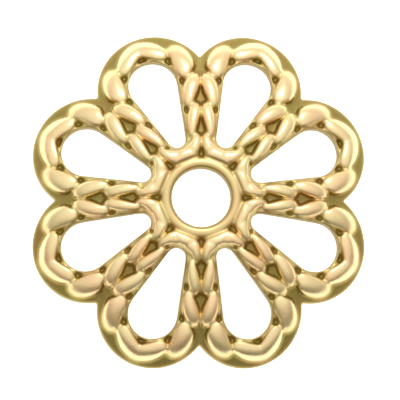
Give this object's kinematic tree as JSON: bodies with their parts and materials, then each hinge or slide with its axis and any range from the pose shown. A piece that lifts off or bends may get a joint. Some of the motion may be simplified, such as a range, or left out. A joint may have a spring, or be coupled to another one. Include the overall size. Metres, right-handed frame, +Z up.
{
  "type": "flower bead cap",
  "caption": "Domed flower bead cap with a round threading hole, pierced petals and a raised rope round each petal.",
  "frame": {"origin": "on the axis of the threading hole, in the plane that the cap stands on", "axes": "+Z up along the threading hole, out of the dome; a rib between two petals points along +Y"},
  "size_m": [0.0086, 0.0086, 0.002],
  "materials": {
    "gold_plated_brass": "polished gold plating, darker in the grooves"
  },
  "bodies": {
    "root": {"flower_cap": "gold_plated_brass"}
  },
  "joints": []
}
